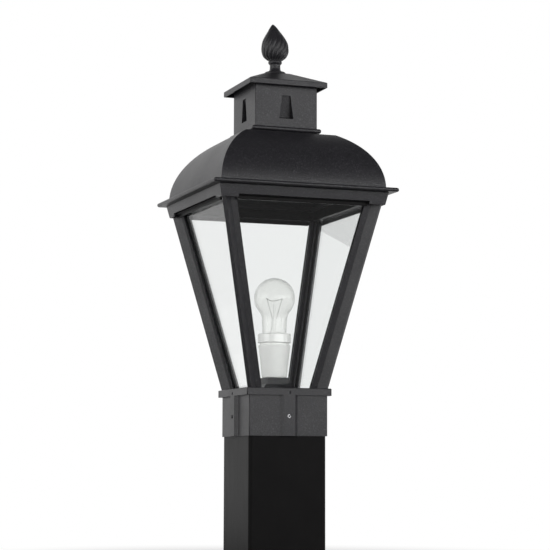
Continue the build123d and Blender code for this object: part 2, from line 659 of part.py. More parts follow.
# --- Chimney: square box with a pressed vent in each side ---
with BuildPart() as chimney_box:
    with BuildSketch(Plane.XY.offset(Z_CHIMNEY)):
        RectangleRounded(CHIMNEY_W, CHIMNEY_W, CHIMNEY_T / 2)
        Rectangle(CHIMNEY_W - 2 * CHIMNEY_T, CHIMNEY_W - 2 * CHIMNEY_T, mode=Mode.SUBTRACT)
    extrude(amount=CHIMNEY_H)
    for side in range(4):
        add(vent_scoop(VENT_T), rotation=(0, 0, 90 * side))
    for side in range(4):
        add(vent_scoop(0), rotation=(0, 0, 90 * side), mode=Mode.SUBTRACT)
        with BuildSketch(side_plane(side, CHIMNEY_W / 2)):
            low = Z_CHIMNEY + VENT_LOW
            with BuildLine():
                Polyline(
                    (-VENT_TOP_W / 2, low + VENT_H),
                    (VENT_TOP_W / 2, low + VENT_H),
                    (VENT_BOTTOM_W / 2, low),
                    (-VENT_BOTTOM_W / 2, low),
                    close=True,
                )
            make_face()
        extrude(amount=-CHIMNEY_T, mode=Mode.SUBTRACT)
finish(chimney_box, "chimney_box")

# --- Chimney cap: hollow pyramid with an upright fascia ---
with BuildPart() as chimney_cap:
    with BuildSketch(Plane.XY.offset(Z_EAVE)):
        Rectangle(CAP_W, CAP_W)
    extrude(amount=CAP_FASCIA)
    with BuildSketch(Plane.XY.offset(Z_EAVE + CAP_FASCIA)):
        Rectangle(CAP_W, CAP_W)
    with BuildSketch(Plane.XY.offset(Z_CAP_TOP)):
        Rectangle(CAP_TOP_W, CAP_TOP_W)
    loft(ruled=True)
    with BuildSketch(Plane.XY.offset(Z_EAVE)):
        Rectangle(CAP_W - 2 * CAP_T, CAP_W - 2 * CAP_T)
    extrude(amount=CAP_FASCIA - CAP_T / 2, mode=Mode.SUBTRACT)
    with BuildSketch(Plane.XY.offset(Z_EAVE + CAP_FASCIA - CAP_T / 2)):
        Rectangle(CAP_W - 2 * CAP_T, CAP_W - 2 * CAP_T)
    with BuildSketch(Plane.XY.offset(Z_CAP_TOP - CAP_T)):
        Rectangle(CAP_TOP_W - CAP_T, CAP_TOP_W - CAP_T)
    loft(ruled=True, mode=Mode.SUBTRACT)
    with BuildSketch(Plane.XY.offset(Z_CAP_TOP)):
        Circle(STUD_R + HOLE_FIT)
    extrude(amount=-CAP_RISE, mode=Mode.SUBTRACT)
finish(chimney_cap, "chimney_cap")

# --- Strap across the chimney that anchors the stud ---
STRAP_L = CHIMNEY_W - 2 * CHIMNEY_T
with BuildPart() as tie_strap:
    with BuildSketch(Plane.XZ):
        with BuildLine():
            Polyline(
                (-STRAP_L / 2, Z_STRAP - STRAP_EAR),
                (-STRAP_L / 2, Z_STRAP),
                (STRAP_L / 2, Z_STRAP),
                (STRAP_L / 2, Z_STRAP - STRAP_EAR),
                (STRAP_L / 2 - STRAP_T, Z_STRAP - STRAP_EAR),
                (STRAP_L / 2 - STRAP_T, Z_STRAP - STRAP_T),
                (-STRAP_L / 2 + STRAP_T, Z_STRAP - STRAP_T),
                (-STRAP_L / 2 + STRAP_T, Z_STRAP - STRAP_EAR),
                close=True,
            )
        make_face()
    extrude(amount=STRAP_W / 2, both=True)
    with BuildSketch(Plane.XY.offset(Z_STRAP)):
        Circle(STUD_R + HOLE_FIT)
    extrude(amount=-STRAP_T, mode=Mode.SUBTRACT)
finish(tie_strap, "tie_strap")

# --- Stud from the strap to the finial, with its lock nuts ---
with BuildPart() as finial_stud:
    with BuildSketch(Plane.XY.offset(Z_STRAP - STRAP_T - STUD_DOWN)):
        Circle(STUD_R)
    extrude(amount=Z_CAP_TOP + STUD_UP - Z_STRAP + STRAP_T + STUD_DOWN)
    chamfer(finial_stud.edges().sort_by(Axis.Z)[-1], length=STUD_CHAMFER)
finish(finial_stud, "finial_stud")

with BuildPart() as stud_nuts:
    for height in (Z_STRAP, Z_STRAP - STRAP_T - NUT_H):
        with BuildSketch(Plane.XY.offset(height)):
            RegularPolygon(NUT_AF / 2, 6, major_radius=False)
            Circle(STUD_R + NUT_FIT, mode=Mode.SUBTRACT)
        extrude(amount=NUT_H)
finish(stud_nuts, "stud_nuts")

# --- Finial: turned foot under a bud with spiral flutes ---
BUD_FOOT = Z_FINIAL + FINIAL_BUD_FOOT


def bud_lean(share):
    """How far the bud's axis has leant towards -X at a share of its height."""
    past = max(0.0, share - FINIAL_LEAN_FROM) / (1 - FINIAL_LEAN_FROM)
    return -FINIAL_LEAN * past**2


def bud_section(share, radius, depth):
    """Scalloped closed outline: one arc per flute, its middle drawn in by the depth."""
    step = 2 * pi / FINIAL_LOBES
    turn = radians(FINIAL_TWIST) * min(share, FINIAL_TWIST_END) / FINIAL_TWIST_END
    middle = radius * cos(step / 2) - depth
    if depth < radius * (1 - cos(step / 2)):
        middle = radius - depth
    with BuildSketch(Plane.XY.offset(BUD_FOOT + share * FINIAL_BUD_H)) as section:
        with BuildLine():
            for lobe in range(FINIAL_LOBES):
                start = turn + lobe * step
                ThreePointArc(
                    (bud_lean(share) + radius * cos(start), radius * sin(start)),
                    (bud_lean(share) + middle * cos(start + step / 2), middle * sin(start + step / 2)),
                    (bud_lean(share) + radius * cos(start + step), radius * sin(start + step)),
                )
        make_face()
    return section.sketch


with BuildPart() as finial:
    loft([bud_section(share, radius, depth) for share, radius, depth in FINIAL_BUD])
    with BuildSketch(Plane.XZ):
        with BuildLine():
            foot = Line((0, Z_FINIAL), (FINIAL_FLANGE_R, Z_FINIAL))
            rim = Line(foot @ 1, (FINIAL_FLANGE_R, Z_FINIAL + FINIAL_FLANGE_H - FINIAL_FLANGE_SLOPE))
            shoulder = Line(rim @ 1, (FINIAL_FLANGE_R - FINIAL_FLANGE_SLOPE, Z_FINIAL + FINIAL_FLANGE_H))
            cove = TangentArc(shoulder @ 1, (FINIAL_NECK_R, Z_FINIAL + FINIAL_NECK_UP), tangent=(-1, 0.12))
            neck = Line(cove @ 1, (FINIAL_NECK_R, Z_FINIAL + FINIAL_NECK_END))
            swell = ThreePointArc(
                neck @ 1,
                (FINIAL_COLLAR_R, Z_FINIAL + FINIAL_COLLAR_UP),
                (FINIAL_NECK_R + 1, BUD_FOOT + FINIAL_FOOT_LAP),
            )
            Polyline(swell @ 1, (0, BUD_FOOT + FINIAL_FOOT_LAP), foot @ 0)
        make_face()
    revolve(axis=Axis.Z)
    with BuildSketch(Plane.XY.offset(Z_FINIAL)):
        Circle(STUD_R + STUD_FIT)
    extrude(amount=STUD_UP + STUD_SPARE, mode=Mode.SUBTRACT)
finish(finial, "finial")

# --- Lampholder bracket: sloping foot and square block ---
with BuildPart() as holder_bracket:
    with BuildSketch(Plane.XY.offset(Z_CAGE)):
        Rectangle(BRACKET_FOOT_W, BRACKET_FOOT_W)
    with BuildSketch(Plane.XY.offset(Z_CAGE + BRACKET_FOOT_H)):
        Rectangle(BRACKET_SHOULDER_W, BRACKET_SHOULDER_W)
    loft(ruled=True)
    with BuildSketch(Plane.XY.offset(Z_CAGE + BRACKET_FOOT_H)):
        Rectangle(BRACKET_BLOCK_W, BRACKET_BLOCK_W)
    extrude(amount=BRACKET_BLOCK_H)
    with BuildSketch(Plane.XY.offset(Z_CAGE)):
        Circle(BRACKET_BORE_R)
    extrude(amount=BRACKET_FOOT_H + BRACKET_BLOCK_H, mode=Mode.SUBTRACT)
    with BuildSketch(Plane.XY.offset(Z_CAGE)):
        with Locations((-BRACKET_SCREW_X, 0), (BRACKET_SCREW_X, 0)):
            Circle(CORE_SCREW_R)
    extrude(amount=BRACKET_SCREW_DEEP, mode=Mode.SUBTRACT)
finish(holder_bracket, "holder_bracket")

with BuildPart() as bracket_screws:
    with BuildSketch(Plane.XY.offset(Z_POCKET)):
        with Locations((-BRACKET_SCREW_X, 0), (BRACKET_SCREW_X, 0)):
            Circle(CORE_SCREW_R - SCREW_FIT)
    extrude(amount=BASE_WEB + BRACKET_SCREW_DEEP - CORE_SCREW_SPARE)
    with BuildSketch(Plane.XY.offset(Z_POCKET)):
        with Locations((-BRACKET_SCREW_X, 0), (BRACKET_SCREW_X, 0)):
            Circle(CORE_HEAD_R)
    extrude(amount=-CORE_HEAD_H)
finish(bracket_screws, "bracket_screws")

# --- Porcelain lampholder body ---
with BuildPart() as lampholder_body:
    with BuildSketch(Plane.XZ):
        with BuildLine():
            Polyline(
                (0, Z_HOLDER),
                (HOLDER_FOOT_R - HOLDER_EDGE, Z_HOLDER),
                (HOLDER_FOOT_R, Z_HOLDER + HOLDER_EDGE),
                (HOLDER_TOP_R, Z_RING - HOLDER_EDGE),
                (HOLDER_TOP_R - HOLDER_EDGE, Z_RING),
                (RING_SEAT_R, Z_RING),
                (RING_SEAT_R, Z_HOLDER + RING_SEAT),
                (SHELL_SEAT_R, Z_HOLDER + RING_SEAT),
                (SHELL_SEAT_R, Z_SHELL),
                (CHAMBER_R, Z_SHELL),
                (CHAMBER_R, Z_CHAMBER),
                (0, Z_CHAMBER),
                close=True,
            )
        make_face()
    revolve(axis=Axis.Z)
    with BuildSketch(Plane.XY.offset(Z_HOLDER)):
        with Locations((-LEAD_X, 0), (LEAD_X, 0)):
            Circle(LEAD_R + LEAD_FIT)
    extrude(amount=HOLDER_FLOOR, mode=Mode.SUBTRACT)
finish(lampholder_body, "lampholder_body")

# --- Porcelain ring screwed into the holder's mouth ---
with BuildPart() as lampholder_ring:
    with BuildSketch(Plane.XZ):
        with BuildLine():
            Polyline(
                (RING_BORE_R, Z_HOLDER + RING_SEAT),
                (RING_SEAT_R - RING_FIT, Z_HOLDER + RING_SEAT),
                (RING_SEAT_R - RING_FIT, Z_RING),
                (HOLDER_TOP_R - RING_NECK_GAP, Z_RING),
                (HOLDER_TOP_R - RING_NECK_GAP, Z_RING + RING_NECK_GAP),
                (RING_R - HOLDER_EDGE, Z_RING + RING_NECK_GAP),
                (RING_R, Z_RING + RING_NECK_GAP + HOLDER_EDGE),
                (RING_R, Z_RING + RING_NECK_GAP + RING_H - HOLDER_EDGE),
                (RING_R - HOLDER_EDGE, Z_RING + RING_NECK_GAP + RING_H),
                (RING_MOUTH_R, Z_RING + RING_NECK_GAP + RING_H),
                (RING_MOUTH_R, Z_RING + RING_WAIST),
                (RING_BORE_R, Z_RING + RING_WAIST - RING_SLOPE),
                close=True,
            )
        make_face()
    revolve(axis=Axis.Z)
finish(lampholder_ring, "lampholder_ring")

# --- Screw shell and centre contact ---
with BuildPart() as screw_shell:
    with BuildSketch(Plane.XZ):
        with BuildLine():
            Polyline(
                (SHELL_R - SHELL_T, Z_SHELL),
                (SHELL_SEAT_R - RING_FIT, Z_SHELL),
                (SHELL_SEAT_R - RING_FIT, Z_SHELL + SHELL_T),
                (SHELL_R, Z_SHELL + SHELL_T),
                (SHELL_R, Z_SHELL + SHELL_H),
                (SHELL_R - SHELL_T, Z_SHELL + SHELL_H),
                close=True,
            )
        make_face()
    revolve(axis=Axis.Z)
finish(screw_shell, "screw_shell")

CONTACT_LEG_X = CHAMBER_R - CONTACT_SIDE
with BuildPart() as centre_contact:
    with BuildSketch(Plane.XZ):
        with BuildLine():
            Polyline(
                (CONTACT_FOOT_X, Z_CHAMBER),
                (CONTACT_LEG_X, Z_CHAMBER),
                (CONTACT_LEG_X, Z_CONTACT - CONTACT_RISE),
                (CONTACT_TONGUE, Z_CONTACT),
                (-CONTACT_TONGUE, Z_CONTACT),
                (-CONTACT_TONGUE, Z_CONTACT - CONTACT_T),
                (CONTACT_TONGUE, Z_CONTACT - CONTACT_T),
                (CONTACT_LEG_X - CONTACT_T, Z_CONTACT - CONTACT_RISE - CONTACT_T),
                (CONTACT_LEG_X - CONTACT_T, Z_CHAMBER + CONTACT_T),
                (CONTACT_FOOT_X, Z_CHAMBER + CONTACT_T),
                close=True,
            )
        make_face()
    extrude(amount=CONTACT_W / 2, both=True)
finish(centre_contact, "centre_contact")

# --- Leads from the lampholder down to the terminal block ---
Z_BLOCK = Z_POCKET - BLOCK_DROP - BLOCK_H
with BuildPart() as lead_wires:
    with BuildSketch(Plane.XY.offset(Z_BLOCK + BLOCK_H)):
        with Locations((-LEAD_X, 0), (LEAD_X, 0)):
            Circle(LEAD_R)
    extrude(amount=Z_CHAMBER + LEAD_END - Z_BLOCK - BLOCK_H)
finish(lead_wires, "lead_wires")

with BuildPart() as terminal_block:
    with BuildSketch(Plane.XY.offset(Z_BLOCK)):
        Rectangle(BLOCK_L, BLOCK_W)
    extrude(amount=BLOCK_H)
    fillet(terminal_block.edges().filter_by(Axis.Z), radius=BLOCK_EDGE_R)
    with BuildSketch(Plane.XY.offset(Z_BLOCK + BLOCK_H)):
        with Locations((-BLOCK_FOOT_X, 0), (BLOCK_FOOT_X, 0)):
            Circle(BLOCK_FOOT_R)
    extrude(amount=BLOCK_DROP)
    with BuildSketch(Plane.XZ.offset(BLOCK_W / 2)):
        with Locations((0, Z_BLOCK + BLOCK_H / 2)):
            with GridLocations(BLOCK_L / 3, 1, 3, 1):
                Circle(BLOCK_BORE_R)
    extrude(amount=-BLOCK_W, mode=Mode.SUBTRACT)
finish(terminal_block, "terminal_block")

# --- Bulb: cap, glass, stem and filament ---
Z_CAP_RIM = Z_BULB + BULB_CAP_H
with BuildPart() as bulb_cap:
    with BuildSketch(Plane.XZ):
        with BuildLine():
            Polyline(
                (0, Z_BULB),
                *[(radius, Z_BULB + height) for radius, height in CAP_PROFILE],
                (CAP_PROFILE[-1][0], Z_CAP_RIM),
                (0, Z_CAP_RIM),
                close=True,
            )
        make_face()
    revolve(axis=Axis.Z)
finish(bulb_cap, "bulb_cap")


def bulb_outline(inset):
    """Face between the bulb's axis and its wall, drawn in by inset."""
    with BuildSketch(Plane.XZ) as outline:
        with BuildLine():
            globe = CenterArc((0, Z_BULB + BULB_L - BULB_R), BULB_R - inset, -BULB_DIP, 90 + BULB_DIP)
            throat = TangentArc(
                globe @ 0, (BULB_WAIST_R - inset, Z_BULB + WAIST_UP), tangent=(globe % 0) * -1
            )
            neck = Line(throat @ 1, (BULB_NECK_R - inset, Z_BULB + NECK_UP))
            shoulder = TangentArc(neck @ 1, (BULB_COLLAR_R - inset, Z_CAP_RIM), tangent=neck % 1)
            collar_foot = (BULB_COLLAR_R - inset, Z_CAP_RIM - BULB_COLLAR_DROP)
            Polyline(shoulder @ 1, collar_foot, (0, Z_CAP_RIM - BULB_COLLAR_DROP), globe @ 1)
        make_face()
    return outline.sketch


with BuildPart() as bulb_glass:
    revolve(bulb_outline(0), axis=Axis.Z)
    revolve(bulb_outline(BULB_GLASS_T), axis=Axis.Z, mode=Mode.SUBTRACT)
finish(bulb_glass, "bulb_glass")

Z_STEM_TOP = Z_BULB + FILAMENT_UP - STEM_TOP_DROP
with BuildPart() as bulb_stem:
    with BuildSketch(Plane.XZ):
        with BuildLine():
            Polyline(
                (0, Z_CAP_RIM),
                *[(radius, Z_CAP_RIM + height) for radius, height in STEM_PROFILE],
                (STEM_ROD_R, Z_STEM_TOP - STEM_BEAD_H),
                (STEM_BEAD_R, Z_STEM_TOP - STEM_BEAD_H / 2),
                (STEM_BEAD_R / 2, Z_STEM_TOP),
                (0, Z_STEM_TOP),
                close=True,
            )
        make_face()
    revolve(axis=Axis.Z)
finish(bulb_stem, "bulb_stem")

Z_COIL = Z_BULB + FILAMENT_UP
with BuildPart() as filament:
    for sign in (-1, 1):
        with BuildLine() as wire:
            Polyline(
                (sign * SUPPORT_FOOT_X, 0, Z_CAP_RIM + SUPPORT_FOOT_UP),
                (sign * FILAMENT_HALF, 0, Z_COIL),
            )
        with BuildSketch(Plane(origin=wire.line @ 0, z_dir=wire.line % 0)):
            Circle(SUPPORT_R)
        sweep(path=wire.line)
    with BuildLine() as coil:
        ThreePointArc(
            (-FILAMENT_HALF, 0, Z_COIL),
            (0, FILAMENT_BOW, Z_COIL - FILAMENT_SAG),
            (FILAMENT_HALF, 0, Z_COIL),
        )
    with BuildSketch(Plane(origin=coil.line @ 0, z_dir=coil.line % 0)):
        Circle(FILAMENT_R)
    sweep(path=coil.line)
finish(filament, "filament")
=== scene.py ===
import json
import math

import bmesh
import bpy
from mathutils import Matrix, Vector


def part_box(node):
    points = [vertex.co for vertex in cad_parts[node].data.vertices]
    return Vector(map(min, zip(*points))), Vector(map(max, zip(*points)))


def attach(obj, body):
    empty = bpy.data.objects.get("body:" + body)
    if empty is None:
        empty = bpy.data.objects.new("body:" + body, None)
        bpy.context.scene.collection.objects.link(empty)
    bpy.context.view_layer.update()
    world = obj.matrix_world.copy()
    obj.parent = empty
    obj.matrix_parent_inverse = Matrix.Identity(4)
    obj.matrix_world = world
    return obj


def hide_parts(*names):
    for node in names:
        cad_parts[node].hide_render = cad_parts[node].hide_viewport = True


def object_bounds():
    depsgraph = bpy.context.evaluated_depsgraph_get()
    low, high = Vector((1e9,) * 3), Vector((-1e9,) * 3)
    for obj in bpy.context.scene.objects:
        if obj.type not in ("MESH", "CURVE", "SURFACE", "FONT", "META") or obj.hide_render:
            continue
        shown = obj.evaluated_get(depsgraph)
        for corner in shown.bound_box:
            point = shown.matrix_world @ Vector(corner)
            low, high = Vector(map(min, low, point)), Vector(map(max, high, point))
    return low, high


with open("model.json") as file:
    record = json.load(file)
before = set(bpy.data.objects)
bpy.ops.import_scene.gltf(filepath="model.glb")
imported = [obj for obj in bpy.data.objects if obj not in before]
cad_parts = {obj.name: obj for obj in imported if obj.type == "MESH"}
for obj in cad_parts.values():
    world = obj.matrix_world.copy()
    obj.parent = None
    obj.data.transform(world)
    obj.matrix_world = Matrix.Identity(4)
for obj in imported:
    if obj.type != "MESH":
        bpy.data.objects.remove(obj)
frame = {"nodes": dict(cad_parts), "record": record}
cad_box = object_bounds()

# Looks of the square post top lantern: photo camera, plain studio, procedural finishes for
# the CAD nodes, rounded sheet-metal edges, and finer pieces in place of the plain finial,
# bulb cap and filament. Metres, in the frame's axes: the front faces -Y, the post stands on z = 0.

# --- Camera, as solved from the photograph ---
FRAME_PX = 550
FOCAL_PX = 1890.0
SENSOR = 36.0
CAMERA_AZIMUTH = 20.15     # degrees to the left of the front
CAMERA_DISTANCE = 2.765
CAMERA_ASIDE = 0.0015      # to its right
CAMERA_HEIGHT = 0.1156
CAMERA_PITCH = 6.12        # degrees above level
CAMERA_ROLL = -0.15        # degrees
CAMERA_CLIP = (0.05, 50.0)

# --- Studio: what shiny and matt surfaces see; the camera sees plain white ---
SURROUND = 0.09            # dim light from all sides
BACKDROP = 0.82            # white sheet behind the lantern
BACKDROP_AIM = (-0.10, 0.99, 0)
BACKDROP_EDGE = (0.15, 0.65)
BACKDROP_TOP = (0.40, 0.90)
FRONT_BOX = 3.30           # wide softbox in front, to the camera's right
FRONT_BOX_AIM = (0.45, -0.89, 0)
FRONT_BOX_EDGE = (0.45, 0.85)
FRONT_BOX_TOP = (0.08, 0.36)
LEFT_BOX = 3.0             # narrow softbox to the left, which edges and slopes catch
LEFT_BOX_AIM = (-0.94, -0.34, 0)
LEFT_BOX_EDGE = (0.80, 0.94)
LEFT_BOX_TOP = (0.10, 0.50)
FLOOR_HALF = 6.0
FLOOR_SHADE = (0.15, 0.6)  # the floor's shadow fades out between these distances
FLOOR_DARK = (0.6, 1.7)    # between these distances reflections see it turn from near to far
FLOOR_DIM = 0.14           # how white the near floor is to them
FLOOR_FRONT = 0.22         # how white the far floor is in front; behind the lantern it is full white
FLOOR_SIDES = (-1.5, 1.5)  # places in Y where the front ends and the full white starts
FLOOR_PALE = 0.45          # share of plain white mixed into the floor near the lantern
FLOOR_WHITE = (0.9, 0.9, 0.9)
FLOOR_CELLS = 12
WHITE = (1, 1, 1, 1)
KEY_LAMP, KEY_WATTS = (1.3, -2.0, 0.8), 42      # in front, to the camera's right
SIDE_LAMP, SIDE_WATTS = (-2.2, -0.6, 0.8), 19   # to the left
LAMP_WIDTH = 1.6

# --- Finishes: grain sizes and bump depths; tones and roughness along a 0 to 1 noise ---
COAT_GRAIN, COAT_GRAIN_DEPTH = 0.0017, 0.00022
COAT_PEBBLE, COAT_PEBBLE_DEPTH = 0.0016, 0.00014
COAT_PATCH = 0.05          # size of the patches of duller and glossier coat
COAT_TONES = ((0.38, (0.006, 0.0058, 0.007)), (0.58, (0.014, 0.0135, 0.016)), (0.72, (0.058, 0.057, 0.062)))
COAT_GLOSS = ((0.3, 0.36), (0.7, 0.42))
PAINT_PATCH = 0.04
# on the top frame the darkness of these tones is painted shade for the shadowed inside of the hood
PAINT_TONES = ((0.25, (0.0042, 0.0040, 0.0042)), (0.75, (0.0056, 0.0053, 0.0054)))
PAINT_STREAK = 0.012       # width of streaks four times as tall
PAINT_GLOSS = ((0.3, 0.30), (0.7, 0.36))
PAINT_SKIN, PAINT_SKIN_DEPTH = 0.0025, 0.00002
PAINT_SHEEN_ROUGH = 0.35
PANE_PATCH, PANE_ROUGH, PANE_IOR = 0.15, 0.01, 1.5
PANE_TINTS = ((0.3, (0.990, 0.996, 0.994)), (0.7, (0.994, 0.998, 0.997)))
BULB_PATCH, BULB_ROUGH, BULB_IOR = 0.02, 0.02, 1.35
BULB_TINTS = ((0.3, (0.986, 0.988, 0.982)), (0.7, (0.992, 0.993, 0.988)))
BULB_WAVE, BULB_WAVE_DEPTH = 0.012, 0.00010
STEM_PATCH, STEM_ROUGH, STEM_IOR = 0.004, 0.06, 1.12
STEM_TINTS = ((0.3, (0.96, 0.965, 0.96)), (0.7, (0.99, 0.99, 0.99)))
STEM_FOLD, STEM_FOLD_DEPTH = 0.003, 0.0001
GLAZE_PATCH, GLAZE_DEPTH = 0.006, 0.00006
GLAZE_TONES = ((0.2, (0.84, 0.845, 0.825)), (0.8, (0.89, 0.89, 0.87)))
GLAZE_SPOT = 0.004         # size of the spots of softer and sharper shine
GLAZE_GLOSS = ((0.3, 0.08), (0.7, 0.14))
MARK_DEPTH = 0.00003       # drawing and turning marks in metal
SPECK_DEPTH = 0.00005      # matt grain of rubber and plastic
SPECK_PATCH = 8            # how many times as large as the grain their patches of tone are

# --- Edges of folded sheet and cast pieces: widths of their rounding ---
EDGE_ROUND = {
    "collar": 0.0007, "base_plate": 0.0005, "skirt": 0.0004, "cornice": 0.0004, "chimney_box": 0.0006,
    "chimney_cap": 0.0006, "holder_bracket": 0.0008, "top_frame": 0.0004, "corner_post_front_left": 0.0005,
    "corner_post_front_right": 0.0005, "corner_post_back_right": 0.0005, "corner_post_back_left": 0.0005,
}
EDGE_STEPS = 2
EDGE_ANGLE = 35            # degrees; flatter edges stay sharp
WELD_REACH = 1e-5          # mesh vertices closer than this become one

# --- Finial: heights and radii in millimetres above its foot ---
MM = 0.001
FOOT_PROFILE = (
    (0.0, 4.4), (0.0, 16.1), (2.0, 16.1), (3.4, 14.6), (4.6, 10.6), (7.0, 8.4), (10.5, 7.9), (14.5, 7.9),
    (16.0, 9.2), (17.9, 10.3), (19.8, 9.9), (21.5, 8.9),
)
BUD_PROFILE = (
    (21.8, 11.2), (26.5, 16.9), (32.0, 19.6), (38.0, 20.5), (43.0, 20.2), (48.0, 19.1), (52.5, 17.3),
    (57.0, 14.7), (61.5, 11.8), (65.5, 9.0), (69.5, 6.5), (73.0, 3.9), (75.2, 2.0), (76.4, 0.3),
)
BUD_FOOT, BUD_TOP = 21.5, 76.5
BUD_LEAN = 3.6             # how far the tip leans towards -X
BUD_LEAN_FROM = 0.1        # share of the bud's height where it starts to lean
FLUTES = 16
FLUTE_DEPTH = 2.1
FLUTE_TWIST = 1.25         # degrees of turn per millimetre of height
FLUTE_END = 0.66           # share of the bud's height where the flutes have died out
FLUTE_RISE = 0.04          # share of the height in which they deepen by their full depth
FLUTE_FOOT = 0.35          # share of their depth at the foot
FLUTE_FADE = 0.8           # lower keeps them deep for longer
FLUTE_SHARP = 1.3          # higher makes the grooves narrower
FOOT_RINGS, BUD_RINGS = 36, 90
ROUND_STEPS, ROUND_STEPS_QUICK = 14, 4  # mesh columns for each flute

# --- Bulb pieces ---
CAP_THREAD_PITCH = 0.0036
CAP_THREAD_DEPTH = 0.0009
CAP_SMOOTH = (0.0075, 0.0035)  # plain ends of the bulb cap, below and above the thread
CAP_FADE = 0.002           # height over which the thread fades in and out
CAP_TIP = ((0.0, 0.0035), (0.0010, 0.0046), (0.0026, 0.0090))  # heights and radii of its contact end
CAP_SHOULDER = (0.0046, 0.0008)  # height of the shoulder, and how far it lies inside the shell
CAP_SHELL = 0.0056         # height at which the shell starts
CAP_ROWS, CAP_COLUMNS = 60, 48
SUPPORT_R = 0.00028
SUPPORT_FOOT = (0.0026, 0.0006)  # half the spread at the foot, and its height there
SUPPORT_KNEE = (0.9, 0.0022)     # share of the full spread at the bend, and its depth below the top
FILAMENT_INSET = (0.0010, 0.0008)  # ends of the coil, in from the CAD wires' side and top
COIL_R = 0.00042
COIL_WIRE_R = 0.00013
COIL_TURNS = 56
COIL_POINTS = 10           # points on each turn
COIL_BOW = 0.008           # how far the coil's middle stands back from its ends
COIL_SAG = 0.003           # how far it hangs below them


# ---------------------------------------------------------------- node helpers
class Graph:
    """A node tree under construction, with short calls for its nodes and links."""

    def __init__(self, tree):
        self.tree = tree
        self.tree.nodes.clear()

    def add(self, kind, values=None, links=None, **settings):
        """A node with its settings, socket values and incoming links."""
        made = self.tree.nodes.new(kind)
        for name, value in settings.items():
            setattr(made, name, value)
        for socket, value in (values or {}).items():
            made.inputs[socket].default_value = value
        for socket, source in (links or {}).items():
            self.tree.links.new(source, made.inputs[socket])
        return made

    def math(self, operation, first, second):
        """A sum, product or other result of two values, each a socket or a number."""
        made = self.add("ShaderNodeMath", operation=operation)
        for socket, value in enumerate((first, second)):
            if isinstance(value, (int, float)):
                made.inputs[socket].default_value = value
            else:
                self.tree.links.new(value, made.inputs[socket])
        return made.outputs["Value"]

    def ease(self, value, start, end, low=0.0, high=1.0):
        """A smooth step from low to high as a value goes from start to end."""
        values = {"From Min": start, "From Max": end, "To Min": low, "To Max": high}
        made = self.add("ShaderNodeMapRange", values, {"Value": value}, interpolation_type="SMOOTHSTEP")
        return made.outputs["Result"]


class Recipe(Graph):
    """A node material under construction."""

    def __init__(self, name):
        self.material = bpy.data.materials.new(name)
        self.material.use_nodes = True
        super().__init__(self.material.node_tree)
        self.output = self.add("ShaderNodeOutputMaterial")
        self.place = self.add("ShaderNodeTexCoord").outputs["Object"]

    def noise(self, size, detail=2.0, rough=0.5, stretch=(1, 1, 1)):
        """Noise whose blobs are about size metres across."""
        spread = self.add("ShaderNodeMapping", {"Scale": stretch}, {"Vector": self.place})
        values = {"Scale": 1 / size, "Detail": detail, "Roughness": rough}
        return self.add("ShaderNodeTexNoise", values, {"Vector": spread.outputs["Vector"]}).outputs["Fac"]

    def cells(self, size):
        """Distance from the nearest of many points about size metres apart."""
        values, links = {"Scale": 1 / size}, {"Vector": self.place}
        return self.add("ShaderNodeTexVoronoi", values, links, feature="SMOOTH_F1").outputs["Distance"]

    def ramp(self, source, stops):
        """Colours or greys along a 0 to 1 value."""
        made = self.add("ShaderNodeValToRGB", links={"Fac": source})
        band = made.color_ramp
        while len(band.elements) < len(stops):
            band.elements.new(0.5)
        for element, (at, colour) in zip(band.elements, stops):
            element.position = at
            element.color = (*colour, 1) if hasattr(colour, "__len__") else (colour, colour, colour, 1)
        return made.outputs["Color"]

    def bump(self, height, depth, under=None):
        """A bump of that depth in metres, on top of another."""
        links = {"Height": height}
        if under is not None:
            links["Normal"] = under
        return self.add("ShaderNodeBump", {"Distance": depth, "Strength": 1.0}, links).outputs["Normal"]

    def surface(self, values, links=None):
        """The Principled shader of the material."""
        return self.add("ShaderNodeBsdfPrincipled", values, links).outputs["BSDF"]

    def finish(self, shader):
        """The finished material, with this shader on its surface."""
        self.tree.links.new(shader, self.output.inputs["Surface"])
        return self.material


# ---------------------------------------------------------------- materials
def powder_coat():
    """Fine-texture black powder coat, semi-matte, with a sparkle in its grain."""
    r = Recipe("powder_coat")
    grain = r.noise(COAT_GRAIN, detail=4.0, rough=0.7)
    pebble = r.cells(COAT_PEBBLE)
    broad = r.noise(COAT_PATCH, detail=3.0)
    tone = r.ramp(grain, COAT_TONES)
    gloss = r.ramp(broad, COAT_GLOSS)
    lumps = r.bump(pebble, COAT_PEBBLE_DEPTH)
    fine = r.bump(grain, COAT_GRAIN_DEPTH, lumps)
    links = {"Base Color": tone, "Roughness": gloss, "Normal": fine}
    return r.finish(r.surface({"Specular IOR Level": 0.5}, links))


def smooth_paint(name, specular, sheen):
    """Smooth black paint without the powder coat's grain."""
    r = Recipe(name)
    tone = r.ramp(r.noise(PAINT_PATCH, detail=4.0), PAINT_TONES)
    gloss = r.ramp(r.noise(PAINT_STREAK, stretch=(1, 1, 0.25)), PAINT_GLOSS)
    skin = r.bump(r.noise(PAINT_SKIN), PAINT_SKIN_DEPTH)
    links = {"Base Color": tone, "Roughness": gloss, "Normal": skin}
    values = {"Specular IOR Level": specular, "Sheen Weight": sheen, "Sheen Roughness": PAINT_SHEEN_ROUGH}
    return r.finish(r.surface(values, links))


